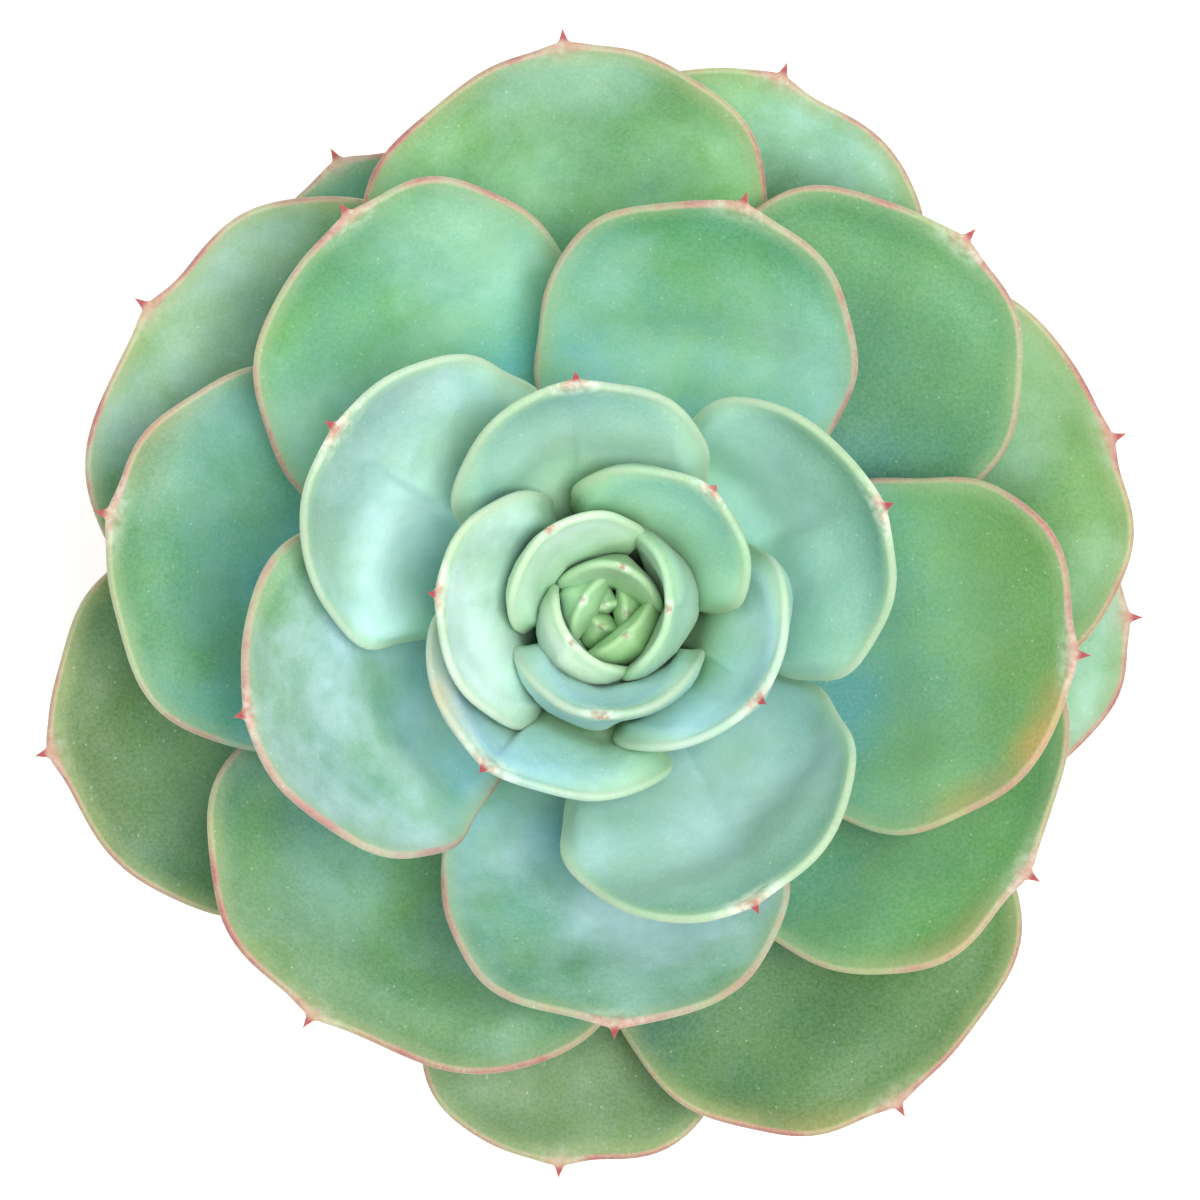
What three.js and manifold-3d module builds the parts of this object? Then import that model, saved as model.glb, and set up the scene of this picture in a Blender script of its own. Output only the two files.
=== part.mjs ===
// A potted echeveria: a rosette of fleshy, spoon-shaped leaves on a short woody stem, rooted in soil
// in a plain terracotta pot. Millimetres and degrees, +Z up, origin at the centre of the pot's
// underside.

import * as THREE from "three";
import { mergeVertices } from "three/addons/utils/BufferGeometryUtils.js";
import Module from "manifold-3d";

const wasm = await Module();
wasm.setup();

// ---- Driving dimensions ---------------------------------------------------------------------------

// Pot: a tapered cup with a band round its rim and drainage holes round a solid centre.
const POT_HEIGHT = 92;
const POT_RIM_RADIUS = 58;
const POT_BASE_RADIUS = 41;
const POT_WALL = 5;
const POT_FLOOR = 6;
const POT_ROUNDING = 1.6;
const BAND_HEIGHT = 20;
const BAND_PROUD = 2.5;
const DRAIN_HOLES = 3;
const DRAIN_RADIUS = 5;
const DRAIN_CIRCLE = 22;

// Soil: stops short of the rim and mounds up a little towards the stem.
const SOIL_BELOW_RIM = 9;
const SOIL_MOUND = 2.5;
const SOIL_TO_POT = 0.4;

// Stem: its foot is in the soil, and its top is the domed growing tip.
const STEM_RADIUS = 7;
const STEM_IN_SOIL = 22;
const STEM_TO_SOIL = 0.4;
const TIP_AGE = 2;

// Rosette: leaves are counted from the youngest, in the heart, to the oldest, at the bottom.
const LEAVES = 42;
const DIVERGENCE = 138.3;
const FIRST_TURN = 323;
const LEAF_WIDTH = 50;
const LEAF_LENGTH = 68;
const LEAF_THICKNESS = 4.1;
// A leaf is flatter above its middle surface than below it.
const TOP_SHARE = 0.4;
const LEAF_EDGE = 1.5;
// The width of a leaf's base, in stem radii.
const LEAF_CLASP = 1.78;
const LEAF_POINT = 2.2;
const LEAF_TO_STEM = 0.4;
const LEAF_TO_RIM = 1;
// The rise from one leaf to the next, as a share of a leaf's thickness and the depth of its spoon.
const LEAF_CROWDING = 0.181;

// How the leaves are bent. The midrib of a grown leaf turns up along its length, by so many degrees,
// and that of a bud flares outwards. The blade is cupped across it: by the spoon, whose radius is the
// full width over this share, and, where the leaf stands up, by this share of the curve that a cone
// round the stem would have.
const UPTURN = 37;
const YOUNG_UPTURN = -30;
const SPOON = 0.45;
const CONE = 0.6;

const POT_SIDES = 48;
const STEM_SIDES = 24;

// How a leaf grows, part by part: the age at which the part is two thirds grown, and how suddenly it
// grows around that age.
const GROWTH = { width: [12.5, 1.6], length: [13.5, 1.5], clasp: [11, 1.8], upturn: [16, 4] };
// A bud's share of a grown leaf's size, point and thickness.
const BUD = 0.06;
const BUD_POINT = 0.35;
const BUD_THICKNESS = 0.33;
// The age at which a leaf has leaned two thirds of the way from upright to level.
const LEAN_AGE = 20.5;
// The ages below the growing tip over which the tip widens to two thirds of the stem, and its roundness.
const TIP_SPREAD = 5.5;
const TIP_ROUNDNESS = 1.2;

// The ages of the leaves at whose height the growing tip has a ring of points, down to its middle.
const STEM_AGES = [20, 14, 10, 8, 6, 4, 3, TIP_AGE];

const radians = THREE.MathUtils.degToRad;
const { lerp } = THREE.MathUtils;

// ---- Growth rules ---------------------------------------------------------------------------------

// How far a part of a leaf has grown, from a bud's share of full size to 1.
const grown = (age, [middle, sharpness]) => lerp(BUD, 1, 1 - Math.exp(-((age / middle) ** sharpness)));

// The growing tip is at the height of this leaf. It widens from there to the stem's radius.
function stemRadiusAt(age) {
  const belowTip = Math.max(age - TIP_AGE, 0);
  return STEM_RADIUS * (1 - Math.exp(-((belowTip / TIP_SPREAD) ** TIP_ROUNDNESS)));
}

// Leaf by leaf, how it departs from the rule: turned about the stem, lifted and curled inwards, in
// degrees, and as many times as long and as wide.
const HABIT = {
  1: { lift: -1.5, curl: 27, wide: 0.8 },
  2: { lift: -4, curl: 27, long: 0.98, wide: 0.71 },
  3: { turn: -18, lift: -0.5, curl: 32, long: 0.9, wide: 0.77 },
  4: { turn: -7, lift: 0.5, curl: 9, long: 1.04, wide: 0.78 },
  5: { turn: 15, lift: 6, curl: 42, wide: 0.85 },
  6: { turn: -2, lift: 3, curl: 10, long: 0.97, wide: 0.88 },
  7: { turn: 7, lift: 9, curl: 38, long: 1.06, wide: 0.88 },
  8: { turn: 14, lift: 9, curl: 40, wide: 0.92 },
  9: { turn: -4, lift: 5, curl: 3, long: 1.04, wide: 0.96 },
  10: { turn: -1, lift: 9, curl: 22, long: 0.95 },
  11: { turn: 5, lift: 3.5, wide: 0.95 },
  12: { turn: -10, lift: 6.5, wide: 1.03 },
  13: { turn: 9, lift: 10, curl: 12, long: 0.91, wide: 1.03 },
  14: { turn: -2, lift: 7 },
  15: { turn: -7, lift: 15, curl: 3, long: 0.86 },
  16: { turn: 5, lift: 7 },
  17: { turn: -9, lift: 6 },
  18: { turn: 4, lift: 12.5 },
  19: { turn: 1, lift: -3 },
  20: { turn: -14, lift: 13, wide: 1.05 },
  21: { turn: 8, lift: -4, wide: 1.07 },
  22: { turn: -3, lift: -1, wide: 1.02 },
  23: { turn: 7, lift: 13, long: 0.93 },
  24: { turn: 4, lift: -6, wide: 1.03 },
  25: { turn: -12, lift: -1, long: 0.98, wide: 1.1 },
  26: { turn: 9, lift: 4, long: 0.97, wide: 1.11 },
  27: { turn: -3, long: 1.08, wide: 1.14 },
  28: { turn: -2, lift: 6, long: 0.95, wide: 1.27 },
  29: { turn: 5, wide: 1.15 },
  30: { turn: -6, long: 1.02, wide: 1.3 },
  31: { turn: 10, long: 1.05, wide: 1.14 },
  32: { turn: 3, long: 1.03, wide: 1.11 },
  33: { turn: -13, long: 1.03, wide: 1.08 },
  34: { turn: 14, long: 0.94 },
  35: { turn: -3, long: 0.94 },
  36: { turn: 3, long: 1.01, wide: 0.92 },
  37: { turn: 4, lift: -4, long: 0.82, wide: 0.85 },
  38: { long: 0.81 },
  39: { lift: -1, long: 0.81 },
  40: { lift: -6, long: 0.81 },
  41: { lift: -2, long: 0.81 },
  42: { lift: -3, long: 0.81 },
};

// Everything that shapes one leaf. crossCurve is the curve across the blade, and dip is how far the
// leaf goes below the place where it joins the stem.
function leafPlan(age) {
  const { turn = 0, lift = 0, curl = 0, long = 1, wide = 1 } = HABIT[age] ?? {};
  const size = grown(age, GROWTH.width);
  const thickness = LEAF_THICKNESS * lerp(BUD_THICKNESS, 1, size);
  const length = LEAF_LENGTH * grown(age, GROWTH.length) * long;
  const pitch = 90 * Math.exp(-((age / LEAN_AGE) ** 2)) + lift;
  const upturn = lerp(YOUNG_UPTURN, UPTURN, grown(age, GROWTH.upturn)) + curl;
  const startPitch = pitch - upturn / 2;
  const lean = Math.sin(radians(startPitch));
  const backFromStem = thickness * Math.max(TOP_SHARE * lean, (TOP_SHARE - 1) * lean);
  const base = stemRadiusAt(age) + LEAF_TO_STEM + backFromStem;
  const midBlade = base + 0.5 * length * Math.max(Math.cos(radians(pitch)), 0);
  return {
    azimuth: FIRST_TURN + DIVERGENCE * age + turn,
    startPitch,
    upturn,
    length,
    width: LEAF_WIDTH * size * wide,
    baseWidth: LEAF_CLASP * STEM_RADIUS * grown(age, GROWTH.clasp),
    thickness,
    edge: Math.min(LEAF_EDGE, 0.6 * thickness),
    point: LEAF_POINT * lerp(BUD_POINT, 1, size),
    crossCurve: (CONE * Math.sin(radians(pitch))) / midBlade + SPOON / LEAF_WIDTH,
    base,
    dip: (length / radians(upturn)) * (1 - Math.cos(radians(startPitch))) + (1 - TOP_SHARE) * thickness,
  };
}

const spoonDepth = (SPOON * LEAF_WIDTH) / 8;
const leafSpacing = LEAF_CROWDING * (LEAF_THICKNESS + spoonDepth);

// The lowest leaf dips a little before it turns up, and it still clears the pot's rim.
const crownHeight = POT_HEIGHT + LEAF_TO_RIM + leafPlan(LEAVES).dip + leafSpacing * LEAVES;
const leafHeight = (age) => crownHeight - leafSpacing * age;

// ---- Leaf -----------------------------------------------------------------------------------------

// Stations across a leaf, from margin to margin, and along it: shares of the way from its base to its
// widest line, and from there to its tip. They crowd at the margin, where the leaf rounds off.
const ACROSS = [-1, -0.88, -0.58, -0.27, 0, 0.27, 0.58, 0.88, 1];
const TO_WIDEST = [0, 0.3, 0.62];
const TO_TIP = [0, 0.45, 0.8, 1];
const ROWS = TO_WIDEST.length + TO_TIP.length;
const COLUMNS = ACROSS.length;
const WIDEST_AT = 0.62;
const SQUARENESS = 2.3;

// Stations u and d on a half disc that is squared off a little.
function roundTip(u, d) {
  const x = u * Math.sqrt(1 - (d * d) / 2);
  const y = d * Math.sqrt(1 - (u * u) / 2);
  const r = Math.hypot(x, y);
  if (r === 0) return [0, 0];
  const swell = (Math.abs(x / r) ** SQUARENESS + Math.abs(y / r) ** SQUARENESS) ** (-1 / SQUARENESS);
  return [x * swell, y * swell];
}

// Where a station lies on the leaf laid flat: millimetres across and along.
function flatPoint(plan, column, row) {
  const u = ACROSS[column];
  const halfWidth = plan.width / 2;
  const toWidest = plan.length * WIDEST_AT;
  if (row < TO_WIDEST.length) {
    const share = TO_WIDEST[row];
    const flare = lerp(plan.baseWidth / plan.width, 1, Math.sin((Math.PI / 2) * share) ** 1.25);
    return [halfWidth * flare * u, toWidest * share];
  }
  const [x, y] = roundTip(u, TO_TIP[row - TO_WIDEST.length]);
  const point = u === 0 && row === ROWS - 1 ? plan.point : 0;
  return [halfWidth * x, toWidest + (plan.length - toWidest) * y + point];
}

// The same point on the bent leaf, offset from the middle surface along its normal. X is away from
// the stem.
function bentPoint(plan, [across, along], offset) {
  const start = radians(plan.startPitch);
  const turn = radians(plan.upturn);
  const pitch = start + (turn * along) / plan.length;
  const radius = plan.length / turn;
  const curl = across * plan.crossCurve;
  const side = Math.sin(curl) * (1 / plan.crossCurve - offset);
  const rise = (1 - Math.cos(curl)) / plan.crossCurve + offset * Math.cos(curl);
  return new THREE.Vector3(
    plan.base + radius * (Math.sin(pitch) - Math.sin(start)) - rise * Math.sin(pitch),
    side,
    radius * (Math.cos(start) - Math.cos(pitch)) + rise * Math.cos(pitch),
  );
}

// Splits a four-cornered face along its shorter diagonal. Corners that are one point leave one face.
function splitFace(points, corners) {
  const ring = corners.filter((v, i) => corners.indexOf(v) === i);
  if (ring.length < 4) return ring.length === 3 ? [ring] : [];
  const [a, b, c, d] = ring;
  return points[a].distanceTo(points[c]) < points[b].distanceTo(points[d])
    ? [[a, b, c], [a, c, d]]
    : [[a, b, d], [b, c, d]];
}

function leafGeometry(plan) {
  const points = [];
  const top = [];
  const bottom = [];
  for (let row = 0; row < ROWS; row++) {
    for (let column = 0; column < COLUMNS; column++) {
      const u = Math.abs(ACROSS[column]);
      const flat = flatPoint(plan, column, row);
      const onMargin = u === 1 || row === ROWS - 1;
      const byMargin = u > 0.8 || row === ROWS - 2;
      const depth = byMargin ? plan.edge : plan.thickness * (1 - 0.25 * u * u);
      top.push(points.push(bentPoint(plan, flat, onMargin ? 0 : TOP_SHARE * depth)) - 1);
      bottom.push(onMargin ? top.at(-1) : points.push(bentPoint(plan, flat, (TOP_SHARE - 1) * depth)) - 1);
    }
  }
  const faces = [];
  for (let column = 0; column < COLUMNS - 1; column++) {
    for (let row = 0; row < ROWS - 1; row++) {
      const here = row * COLUMNS + column;
      const next = here + COLUMNS;
      faces.push([top[here], top[next], top[next + 1], top[here + 1]]);
      faces.push([bottom[here], bottom[here + 1], bottom[next + 1], bottom[next]]);
    }
    faces.push([top[column], top[column + 1], bottom[column + 1], bottom[column]]);
  }
  return new THREE.BufferGeometry()
    .setAttribute("position", new THREE.Float32BufferAttribute(points.flatMap((p) => p.toArray()), 3))
    .setIndex(faces.flatMap((face) => splitFace(points, face)).flat());
}

// The whorls that a gardener would tell apart, with the oldest leaf of each.
const WHORLS = [["heart", 8], ["inner", 18], ["middle", 26], ["outer", 36], ["skirt", LEAVES]];

function makeLeaf(age) {
  const plan = leafPlan(age);
  const color = new THREE.Color(0xa9dcb6).lerp(new THREE.Color(0x7fae8c), age / LEAVES);
  const leaf = new THREE.Mesh(
    leafGeometry(plan),
    new THREE.MeshStandardMaterial({ color, roughness: 0.6, metalness: 0 }),
  );
  const [whorl] = WHORLS.find(([, oldest]) => age <= oldest);
  leaf.name = `${whorl}_leaf_${String(age).padStart(2, "0")}`;
  leaf.rotation.z = radians(plan.azimuth);
  leaf.position.z = leafHeight(age);
  return leaf;
}

// ---- Stem -----------------------------------------------------------------------------------------

const soilTop = POT_HEIGHT - SOIL_BELOW_RIM;
const stemFoot = soilTop + SOIL_MOUND - STEM_IN_SOIL;

function makeStem() {
  const profile = [
    new THREE.Vector2(0, stemFoot),
    new THREE.Vector2(0.6 * STEM_RADIUS, stemFoot),
    new THREE.Vector2(STEM_RADIUS, stemFoot + 0.4 * STEM_RADIUS),
    ...STEM_AGES.map((age) => new THREE.Vector2(stemRadiusAt(age), leafHeight(age))),
  ];
  const stem = new THREE.Mesh(
    new THREE.LatheGeometry(profile, STEM_SIDES),
    new THREE.MeshStandardMaterial({ color: 0x7d6a4f, roughness: 0.85, metalness: 0 }),
  );
  stem.name = "stem";
  return stem.rotateX(Math.PI / 2);
}

// ---- Soil -----------------------------------------------------------------------------------------

const wallSlope = (POT_RIM_RADIUS - BAND_PROUD - POT_BASE_RADIUS) / POT_HEIGHT;
const potOuterAt = (z) => POT_BASE_RADIUS + wallSlope * z;
const potInnerAt = (z) => potOuterAt(z) - POT_WALL;

function makeSoil() {
  const bottom = POT_FLOOR + SOIL_TO_POT;
  const socket = STEM_RADIUS + STEM_TO_SOIL;
  const edge = potInnerAt(soilTop) - SOIL_TO_POT;
  const profile = [
    new THREE.Vector2(0, bottom),
    new THREE.Vector2(potInnerAt(bottom) - SOIL_TO_POT, bottom),
    new THREE.Vector2(edge, soilTop),
    new THREE.Vector2(lerp(edge, socket, 0.5), soilTop + 0.6 * SOIL_MOUND),
    new THREE.Vector2(socket, soilTop + SOIL_MOUND),
    new THREE.Vector2(socket, stemFoot - STEM_TO_SOIL),
    new THREE.Vector2(0, stemFoot - STEM_TO_SOIL),
  ];
  const soil = new THREE.Mesh(
    new THREE.LatheGeometry(profile, POT_SIDES),
    new THREE.MeshStandardMaterial({ color: 0x3a2c22, roughness: 0.95, metalness: 0 }),
  );
  soil.name = "soil";
  return soil.rotateX(Math.PI / 2);
}

// ---- Pot ------------------------------------------------------------------------------------------

// A closed geometry as a solid that can be cut.
function toSolid(geometry) {
  geometry.deleteAttribute("normal");
  geometry.deleteAttribute("uv");
  const merged = mergeVertices(geometry, 1e-4);
  return new wasm.Manifold(
    new wasm.Mesh({
      numProp: 3,
      vertProperties: merged.attributes.position.array,
      triVerts: new Uint32Array(merged.index.array),
    }),
  );
}

function toGeometry(solid) {
  const { vertProperties, triVerts } = solid.getMesh();
  return new THREE.BufferGeometry()
    .setAttribute("position", new THREE.BufferAttribute(vertProperties, 3))
    .setIndex(new THREE.BufferAttribute(triVerts, 1));
}

// The pot's section from the middle of its underside, round the rim, to the middle of its floor.
function potProfile() {
  const bandFoot = POT_HEIGHT - BAND_HEIGHT;
  const bandFootRadius = potOuterAt(bandFoot) + BAND_PROUD;
  const rimInner = potInnerAt(POT_HEIGHT);
  return [
    [0, 0],
    [POT_BASE_RADIUS - POT_ROUNDING, 0],
    [POT_BASE_RADIUS, POT_ROUNDING],
    [potOuterAt(bandFoot), bandFoot],
    [bandFootRadius, bandFoot + 0.6 * POT_ROUNDING],
    [POT_RIM_RADIUS, POT_HEIGHT - POT_ROUNDING],
    [POT_RIM_RADIUS - POT_ROUNDING, POT_HEIGHT],
    [rimInner + POT_ROUNDING, POT_HEIGHT],
    [rimInner, POT_HEIGHT - POT_ROUNDING],
    [potInnerAt(POT_FLOOR), POT_FLOOR],
    [0, POT_FLOOR],
  ].map(([r, z]) => new THREE.Vector2(r, z));
}

function makePot() {
  let solid = toSolid(new THREE.LatheGeometry(potProfile(), POT_SIDES).rotateX(Math.PI / 2));
  for (let hole = 0; hole < DRAIN_HOLES; hole++) {
    const turn = (2 * Math.PI * hole) / DRAIN_HOLES;
    const bore = new THREE.CylinderGeometry(DRAIN_RADIUS, DRAIN_RADIUS, 3 * POT_FLOOR, POT_SIDES / 2)
      .rotateX(Math.PI / 2)
      .translate(DRAIN_CIRCLE * Math.cos(turn), DRAIN_CIRCLE * Math.sin(turn), 0);
    solid = solid.subtract(toSolid(bore));
  }
  const pot = new THREE.Mesh(
    toGeometry(solid),
    new THREE.MeshStandardMaterial({ color: 0xb5653f, roughness: 0.85, metalness: 0 }),
  );
  pot.name = "pot";
  return pot;
}

// ---- Whole plant ----------------------------------------------------------------------------------

const pottedSucculent = new THREE.Group();
pottedSucculent.add(makePot(), makeSoil(), makeStem());
for (let age = 1; age <= LEAVES; age++) pottedSucculent.add(makeLeaf(age));

export default pottedSucculent;
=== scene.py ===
# A potted echeveria: a rosette of fleshy leaves on a short woody stem, rooted in gritty soil in a
# terracotta pot. The script runs in the order in which such a plant is potted. Every piece takes its
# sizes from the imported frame, in metres.

import math

import bmesh
import bpy
import numpy as np
from mathutils import Matrix, Vector
from mathutils.bvhtree import BVHTree


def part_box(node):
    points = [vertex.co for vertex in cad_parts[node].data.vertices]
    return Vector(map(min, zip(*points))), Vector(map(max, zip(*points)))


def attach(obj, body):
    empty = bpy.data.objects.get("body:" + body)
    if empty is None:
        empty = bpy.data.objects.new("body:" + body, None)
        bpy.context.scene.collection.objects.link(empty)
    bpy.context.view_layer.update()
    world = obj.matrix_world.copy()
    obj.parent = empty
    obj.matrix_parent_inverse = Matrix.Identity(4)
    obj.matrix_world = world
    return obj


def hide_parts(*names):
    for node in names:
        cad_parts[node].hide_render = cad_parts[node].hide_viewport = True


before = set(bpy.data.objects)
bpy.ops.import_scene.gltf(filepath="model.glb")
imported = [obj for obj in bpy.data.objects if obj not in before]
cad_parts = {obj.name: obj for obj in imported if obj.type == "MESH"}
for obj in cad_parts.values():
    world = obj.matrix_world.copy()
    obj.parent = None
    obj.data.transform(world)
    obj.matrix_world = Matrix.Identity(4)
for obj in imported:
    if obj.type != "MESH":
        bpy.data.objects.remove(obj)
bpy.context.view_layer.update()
MM = 0.001


# ---- Pot ----
# An unglazed clay pot: a tapered cup with a band round its rim, pressed in a mould and fired at a
# low heat, so that it is porous and matt. Water leaves through three holes in its floor, and what
# seeps through the wall leaves pale salts on it.

POT_TURNS = 144
POT_ROUNDING = 1.6 * MM
POT_STEP = 6 * MM
HOLE_SIDES = 48
CLAY = (0.385, 0.128, 0.056, 1)
CLAY_PALE = (0.500, 0.200, 0.104, 1)
CLAY_DARK = (0.270, 0.085, 0.038, 1)
CLAY_SALTS = (0.690, 0.520, 0.410, 1)
CLAY_GROG = (0.160, 0.060, 0.035, 1)
TURNING_MARKS = (10, 10, 700)
SALTS_TO = 0.40
SALTS_FROM_BAND = (0.62, 0.78)
POT_HOLES = 3
SHARP_CORNER = math.radians(50)


def fill(tree, sockets, inputs):
    """Gives each of these sockets its value, or a link from another node."""
    for name, value in inputs.items():
        if isinstance(value, bpy.types.NodeSocket):
            tree.links.new(value, sockets[name])
        else:
            sockets[name].default_value = value


def node(tree, kind, inputs=None, **settings):
    made = tree.nodes.new(kind)
    for setting, value in settings.items():
        setattr(made, setting, value)
    fill(tree, made.inputs, inputs or {})
    return made


def maths(tree, operation, a, b=0.0):
    return node(tree, "ShaderNodeMath", {0: a, 1: b}, operation=operation).outputs[0]


def times(tree, a, b):
    return maths(tree, "MULTIPLY", a, b)


def scaled(tree, value, factor, offset):
    return maths(tree, "ADD", times(tree, value, factor), offset)


def fade(tree, value, start, end):
    """A smooth mask that is 0 where the value is at start and 1 where it is at end."""
    inputs = {"Value": value, "From Min": start, "From Max": end}
    return node(tree, "ShaderNodeMapRange", inputs, interpolation_type="SMOOTHSTEP").outputs[0]


def coat(tree, colour, over, mask, *masks):
    """The colour with another laid over it where the masks are 1. The masks are multiplied."""
    for further in masks:
        mask = times(tree, mask, further)
    return node(tree, "ShaderNodeMix", {0: mask, 6: colour, 7: over}, data_type="RGBA").outputs[2]


def effect(tree, group, **values):
    """A shader node group placed in a material with its own values."""
    inputs = {label.replace("_", " "): value for label, value in values.items()}
    return node(tree, "ShaderNodeGroup", inputs, node_tree=group).outputs[0]


def shader_group(name, inputs, output):
    """A shader node group with number inputs, given with their usual values, and one output."""
    group = bpy.data.node_groups.new(name, "ShaderNodeTree")
    for label, value in inputs.items():
        socket = group.interface.new_socket(label, in_out="INPUT", socket_type="NodeSocketFloat")
        socket.default_value = value
    group.interface.new_socket(output, in_out="OUTPUT", socket_type="NodeSocketFloat")
    entry = group.nodes.new("NodeGroupInput").outputs
    place = node(group, "ShaderNodeTexCoord").outputs["Object"]
    return group, entry, place


def mottling_group():
    """Cloudy patches: a mask from 0 to 1, with harder patches at a higher contrast."""
    group, entry, place = shader_group("Mottling", {"patches": 60, "contrast": 1}, "Mask")
    inputs = {"Vector": place, "Scale": entry["patches"], "Detail": 5, "Roughness": 0.58}
    cloud = node(group, "ShaderNodeTexNoise", inputs).outputs["Fac"]
    spread = maths(group, "MULTIPLY", maths(group, "SUBTRACT", cloud, 0.5), entry["contrast"])
    mask = node(group, "ShaderNodeClamp", {"Value": maths(group, "ADD", spread, 0.5)}).outputs[0]
    node(group, "NodeGroupOutput", {"Mask": mask})
    return group


def specks_group():
    """Scattered round specks: of the cells that fill the space, a share holds one each."""
    values = {"cells": 900, "size": 0.25, "share": 0.3}
    group, entry, place = shader_group("Specks", values, "Mask")
    inputs = {"Vector": place, "Scale": entry["cells"]}
    cells = node(group, "ShaderNodeTexVoronoi", inputs)
    dot = fade(group, cells.outputs["Distance"], entry["size"], 0.0)
    chance = node(group, "ShaderNodeSeparateColor", {0: cells.outputs["Color"]}).outputs[0]
    kept = maths(group, "LESS_THAN", chance, entry["share"])
    node(group, "NodeGroupOutput", {"Mask": maths(group, "MULTIPLY", dot, kept)})
    return group


def grain_group():
    """The unevenness of a matt surface: coarse bumps, and bumps several times finer on them."""
    group, entry, place = shader_group("Grain", {"bumps": 600, "fineness": 4}, "Height")
    inputs = {"Vector": place, "Scale": entry["bumps"], "Detail": 3}
    coarse = node(group, "ShaderNodeTexNoise", inputs).outputs["Fac"]
    closer = maths(group, "MULTIPLY", entry["bumps"], entry["fineness"])
    fine = node(group, "ShaderNodeTexNoise", {"Vector": place, "Scale": closer}).outputs["Fac"]
    height = maths(group, "ADD", coarse, maths(group, "MULTIPLY", fine, 0.4))
    node(group, "NodeGroupOutput", {"Height": height})
    return group


MOTTLING = mottling_group()
SPECKS = specks_group()
GRAIN = grain_group()


def mottled(tree, patches, contrast):
    return effect(tree, MOTTLING, patches=patches, contrast=contrast)


def specked(tree, cells, size, share):
    return effect(tree, SPECKS, cells=cells, size=size, share=share)


def grained(tree, bumps, fineness):
    return effect(tree, GRAIN, bumps=bumps, fineness=fineness)


def new_material(name):
    """An empty material with its shader, and the shader linked to the output."""
    made = bpy.data.materials.new(name)
    made.use_nodes = True
    made.node_tree.nodes.clear()
    shader = made.node_tree.nodes.new("ShaderNodeBsdfPrincipled")
    node(made.node_tree, "ShaderNodeOutputMaterial", {"Surface": shader.outputs[0]})
    return made, made.node_tree, shader.inputs


def relief(tree, height, strength, distance):
    """Fine relief in the finish, from a height that changes over the surface."""
    inputs = {"Height": height, "Strength": strength, "Distance": distance}
    return node(tree, "ShaderNodeBump", inputs).outputs[0]


def terracotta_material(height):
    """Fired clay with paler patches, dark grog, turning marks, and salts low on the wall and on the
    band."""
    material, tree, shader = new_material("terracotta")
    patches = mottled(tree, 38, 1.6)
    colour = coat(tree, CLAY, CLAY_PALE, patches)
    colour = coat(tree, colour, CLAY_GROG, specked(tree, 720, 0.26, 0.22), 0.55)
    place = node(tree, "ShaderNodeTexCoord").outputs["Object"]
    drawn = node(tree, "ShaderNodeMapping", {"Vector": place, "Scale": TURNING_MARKS}).outputs[0]
    inputs = {"Vector": drawn, "Scale": 1.0, "Detail": 3}
    rings = node(tree, "ShaderNodeTexNoise", inputs).outputs["Fac"]
    colour = coat(tree, colour, CLAY_DARK, fade(tree, rings, 0.52, 0.75), 0.4)
    level = node(tree, "ShaderNodeSeparateXYZ", {0: place}).outputs["Z"]
    foot = fade(tree, level, SALTS_TO * height, 0.0)
    start, end = SALTS_FROM_BAND
    band = times(tree, fade(tree, level, start * height, end * height), 0.45)
    crust = maths(tree, "MAXIMUM", foot, band)
    colour = coat(tree, colour, CLAY_SALTS, crust, mottled(tree, 85, 3.4), 0.75)
    finish = {"Base Color": colour, "Roughness": scaled(tree, patches, 0.12, 0.80)}
    finish["Specular IOR Level"] = 0.25
    marks = maths(tree, "ADD", grained(tree, 900, 3.5), rings)
    fill(tree, shader, finish | {"Normal": relief(tree, marks, 0.4, 0.3 * MM)})
    return material


def corners_of(cad_node):
    """A CAD node's corners, each one once."""
    return np.unique(np.round([v.co[:] for v in cad_node.data.vertices], 7), axis=0)


def profile_of(name):
    """How far out and how high each corner of a turned CAD node is."""
    corners = corners_of(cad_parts[name])
    return np.hypot(corners[:, 0], corners[:, 1]), corners[:, 2]


def new_piece(name, vertices, faces, material):
    """A smooth mesh object at the origin. Its faces are given so that they point outwards."""
    mesh = bpy.data.meshes.new(name)
    mesh.from_pydata(np.asarray(vertices).tolist(), [], faces)
    mesh.validate()
    mesh.shade_smooth()
    mesh.materials.append(material)
    piece = bpy.data.objects.new(name, mesh)
    bpy.context.scene.collection.objects.link(piece)
    return piece


def turned(outline, turns):
    """The corners and faces of a solid turned about the upright axis. Its outline, of radius and
    height, runs up the outside from the axis and comes back to the axis."""
    vertices = [(0, 0, outline[0][1])]
    for radius, level in outline[1:-1]:
        for turn in range(turns):
            angle = 2 * math.pi * turn / turns
            vertices.append((radius * math.cos(angle), radius * math.sin(angle), level))
    vertices.append((0, 0, outline[-1][1]))
    rings = len(outline) - 2
    last_ring = 1 + (rings - 1) * turns
    faces = []
    for turn in range(turns):
        after = (turn + 1) % turns
        faces.append((0, 1 + after, 1 + turn))
        for lower in range(1, last_ring, turns):
            upper = lower + turns
            faces.append((lower + turn, lower + after, upper + after, upper + turn))
        faces.append((last_ring + turn, last_ring + after, len(vertices) - 1))
    return vertices, faces


def rounded(outline, radius, steps=5):
    """The outline with every corner between its ends rounded off."""
    result = [outline[0]]
    for before, corner, after in zip(outline, outline[1:], outline[2:]):
        corner = Vector(corner)
        arm_in = Vector(before) - corner
        arm_out = Vector(after) - corner
        start = corner + arm_in.normalized() * min(radius, 0.45 * arm_in.length)
        end = corner + arm_out.normalized() * min(radius, 0.45 * arm_out.length)
        for step in range(steps + 1):
            share = step / steps
            result.append(tuple(start.lerp(corner, share).lerp(corner.lerp(end, share), share)))
    return result + [outline[-1]]


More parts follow.
